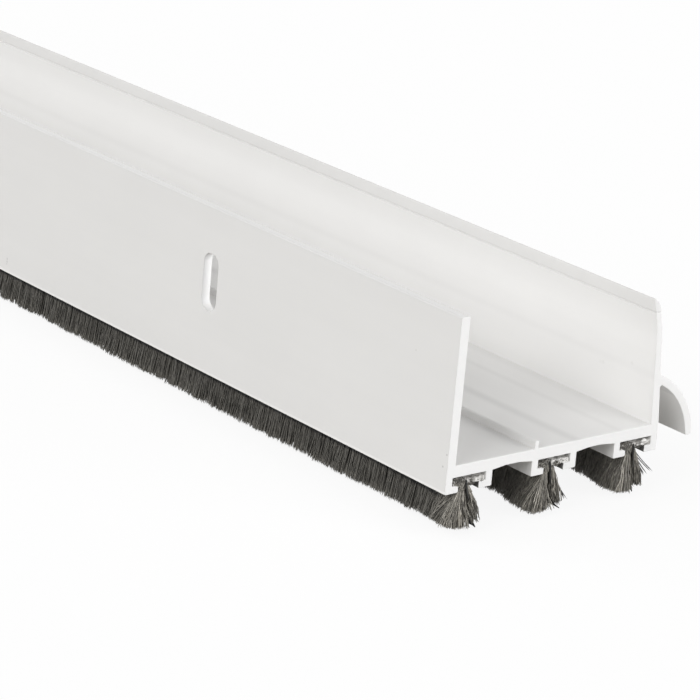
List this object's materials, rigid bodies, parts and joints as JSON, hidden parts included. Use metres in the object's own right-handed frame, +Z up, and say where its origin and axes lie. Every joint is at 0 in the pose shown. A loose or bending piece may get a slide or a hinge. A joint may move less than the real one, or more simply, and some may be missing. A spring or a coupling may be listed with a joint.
{
  "type": "door shoe",
  "caption": "U-shaped vinyl shoe for the bottom edge of a door, with a slotted wall, a sealing lip, a curved rain drip and brush strips held in slots under its base.",
  "frame": {"origin": "on the inner face of the slotted wall where it meets the base, in the middle of the length", "axes": "+X along the strip, +Y from the slotted wall towards the rain drip, +Z up"},
  "size_m": [0.914, 0.0597, 0.041],
  "materials": {
    "rigid_vinyl": "satin white extruded vinyl",
    "soft_vinyl": "soft white vinyl",
    "brush_backing": "pale ribbed backing strip",
    "brush_pile": "dark grey fibre pile",
    "brush_fin": "thin black film"
  },
  "bodies": {
    "root": {"door_channel": "rigid_vinyl", "sealing_lip": "soft_vinyl", "brush_backing_front": "brush_backing", "brush_pile_front": "brush_pile", "brush_fin_front": "brush_fin", "brush_backing_middle": "brush_backing", "brush_pile_middle": "brush_pile", "brush_fin_middle": "brush_fin", "brush_backing_rear": "brush_backing", "brush_pile_rear": "brush_pile", "brush_fin_rear": "brush_fin"}
  },
  "joints": []
}
